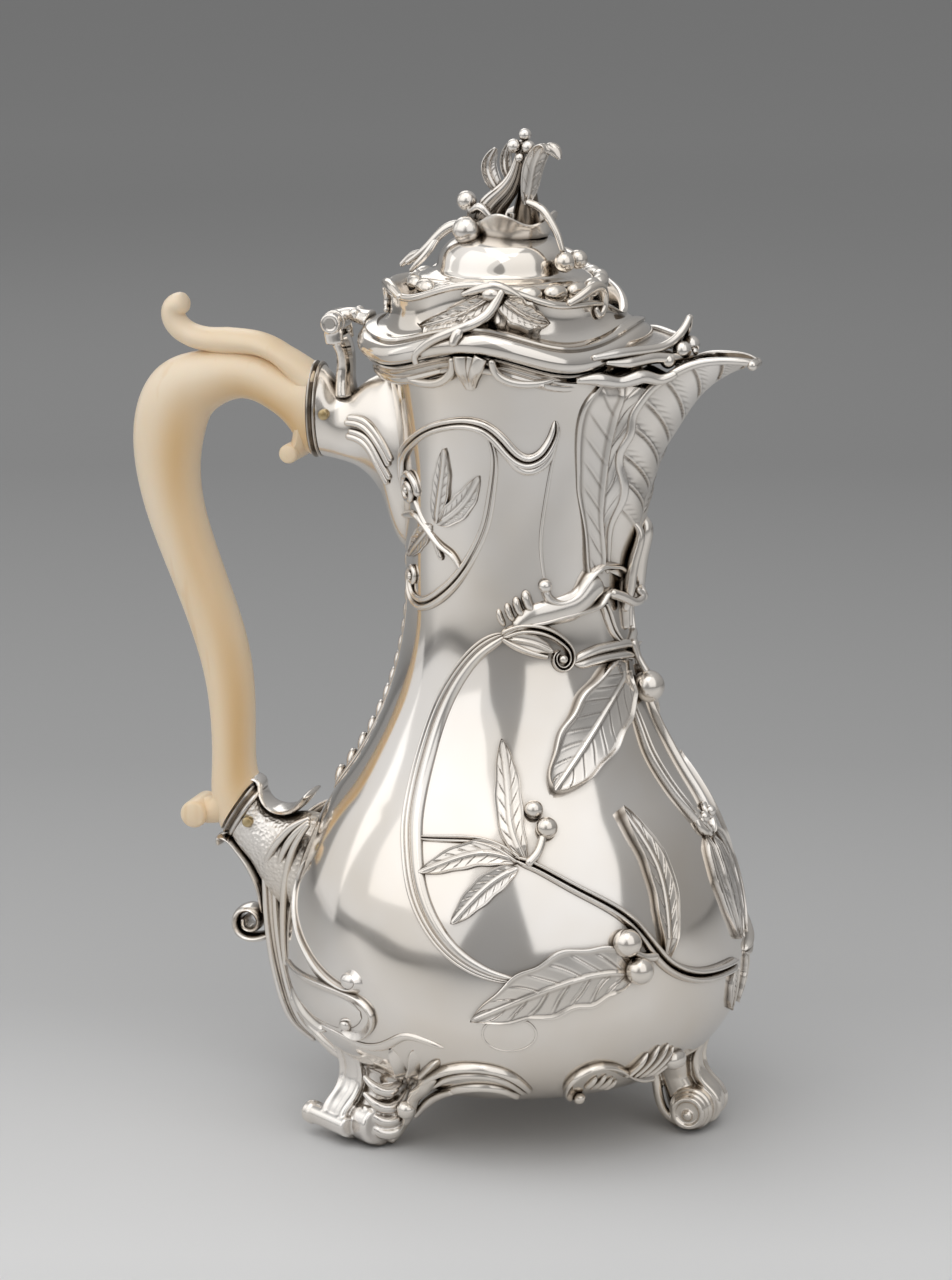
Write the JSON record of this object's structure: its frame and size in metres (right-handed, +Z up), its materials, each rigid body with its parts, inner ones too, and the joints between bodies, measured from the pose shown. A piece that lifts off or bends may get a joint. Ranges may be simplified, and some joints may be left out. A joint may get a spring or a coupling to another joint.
{
  "type": "coffee pot",
  "caption": "Pear-shaped silver coffee pot on scroll feet, with a beaked spout, hinged domed lid with a sprig finial and a curved ivory handle.",
  "frame": {"origin": "on the table, under the middle of the whole object's box", "axes": "+Z up, +X towards the spout, the handle at -X"},
  "size_m": [0.1881, 0.1376, 0.29],
  "materials": {
    "polished_silver": "polished silver",
    "relief_silver": "chased silver, darker in its hollows",
    "ivory": "satin carved ivory",
    "brass_rivet": "worn"
  },
  "bodies": {
    "pot": {"apron_left": "relief_silver", "apron_right": "relief_silver", "back_spine": "relief_silver", "base_plate": "polished_silver", "belly_scroll_left": "relief_silver", "belly_scroll_right": "relief_silver", "body_shell": "polished_silver", "branch_berries_left": "relief_silver", "branch_berries_right": "relief_silver", "branch_leaves_left": "relief_silver", "branch_leaves_right": "relief_silver", "coffee_branch_left": "relief_silver", "coffee_branch_right": "relief_silver", "foot_front": "relief_silver", "foot_left": "relief_silver", "foot_right": "relief_silver", "front_leaf": "relief_silver", "front_scrolls": "relief_silver", "handle": "ivory", "hinge_bracket": "polished_silver", "hinge_pin": "polished_silver", "lower_handle_pin": "brass_rivet", "lower_socket": "polished_silver", "lower_strap": "relief_silver", "mouth_moulding": "polished_silver", "neck_scroll_left": "relief_silver", "neck_scroll_right": "relief_silver", "neck_sprig_left": "relief_silver", "neck_sprig_right": "relief_silver", "rear_apron": "relief_silver", "rear_scroll_left": "relief_silver", "rear_scroll_right": "relief_silver", "rim_clasps": "relief_silver", "socket_straps": "relief_silver", "spout_berry": "relief_silver", "spout_leaf_left": "relief_silver", "spout_leaf_right": "relief_silver", "spout_pendant_leaf_left": "relief_silver", "spout_pendant_leaf_right": "relief_silver", "spout_root_scroll_left": "relief_silver", "spout_root_scroll_right": "relief_silver", "spout_shell": "polished_silver", "upper_handle_pin": "brass_rivet", "upper_socket": "polished_silver"},
    "lid": {"lid_rim": "polished_silver", "lid_gallery": "polished_silver", "lid_plate": "polished_silver", "lid_bezel": "polished_silver", "lid_dome": "polished_silver", "lid_beads": "relief_silver", "lid_spray_right": "relief_silver", "lid_spray_left": "relief_silver", "finial_stem": "relief_silver", "finial_wreath": "relief_silver", "finial_leaves": "relief_silver", "finial_berries": "relief_silver", "finial_nut": "polished_silver", "spout_cover": "polished_silver", "cover_berries": "relief_silver", "lid_hinge_leaf": "polished_silver"}
  },
  "joints": [
    {"name": "lid_hinge", "type": "hinge", "parent": "pot", "child": "lid", "pos_m": [-0.0315, 0, 0.2324], "axis": [0, -1, 0], "range_deg": [0, 105]}
  ]
}
